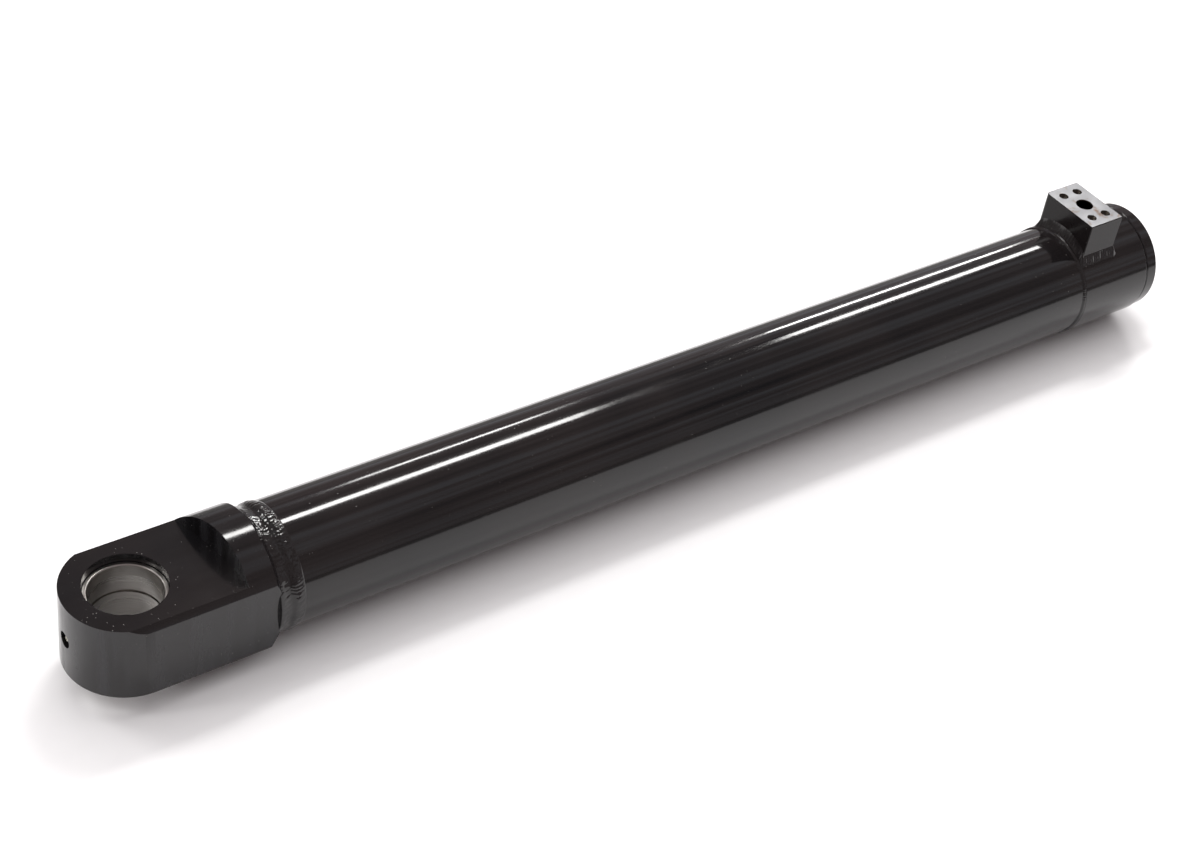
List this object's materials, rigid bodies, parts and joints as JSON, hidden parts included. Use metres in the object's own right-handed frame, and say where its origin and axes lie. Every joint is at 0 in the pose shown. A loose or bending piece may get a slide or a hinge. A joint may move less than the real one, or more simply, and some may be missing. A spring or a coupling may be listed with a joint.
{
  "type": "hydraulic cylinder",
  "caption": "Double-acting welded hydraulic cylinder with a bushed base eye, a flanged port block on the head collar, a screwed gland and a sliding rod with a tapped end.",
  "frame": {"origin": "centre of the base eye's pin bore, on the cylinder's axis", "axes": "+X along the cylinder from the base eye to the rod end, +Z along the base pin's axis and out of the head port's face, +Y across"},
  "size_m": [1.3984, 0.132, 0.172],
  "materials": {
    "black_paint": "gloss black enamel with fine dust",
    "painted_weld": "gloss black enamel over rippled weld",
    "machined_steel": "fine turned steel",
    "bushing_steel": "satin ground bore",
    "chrome_plate": "ground hard chrome",
    "dark_steel": "oiled black oxide",
    "zinc_steel": "dull zinc plate",
    "black_rubber": "matt moulded rubber",
    "red_polyurethane": "satin",
    "blue_polyurethane": "satin",
    "bronze_ptfe": "satin filled plastic",
    "phenolic": "matt woven laminate"
  },
  "bodies": {
    "barrel": {"base_eye": "black_paint", "eye_bushing": "bushing_steel", "grease_fitting": "zinc_steel", "base_weld": "painted_weld", "barrel_tube": "black_paint", "collar_weld": "painted_weld", "head_collar": "black_paint", "port_block": "black_paint", "port_block_weld": "painted_weld", "gland": "black_paint", "gland_lock_screw": "dark_steel", "gland_o_ring": "black_rubber", "gland_backup_ring": "bronze_ptfe", "wiper_seal": "blue_polyurethane", "rod_wear_band_inner": "phenolic", "rod_buffer_seal": "bronze_ptfe", "rod_seal": "red_polyurethane", "rod_wear_band_outer": "phenolic"},
    "piston_rings": {"piston_wear_ring_rear": "phenolic", "piston_wear_ring_front": "phenolic", "piston_seal": "bronze_ptfe", "piston_seal_energizer": "black_rubber"},
    "rod": {"piston_rod": "chrome_plate", "piston": "machined_steel", "piston_o_ring": "black_rubber", "piston_nut": "dark_steel", "nut_set_screw": "dark_steel"}
  },
  "joints": [
    {"name": "rod_slide", "type": "slide", "parent": "barrel", "child": "piston_rings", "axis": [1, 0, 0], "range_m": [0, 0.96]},
    {"name": "rod_turn", "type": "hinge", "parent": "piston_rings", "child": "rod", "pos_m": [0.216, 0, 0], "axis": [1, 0, 0], "continuous": true}
  ]
}
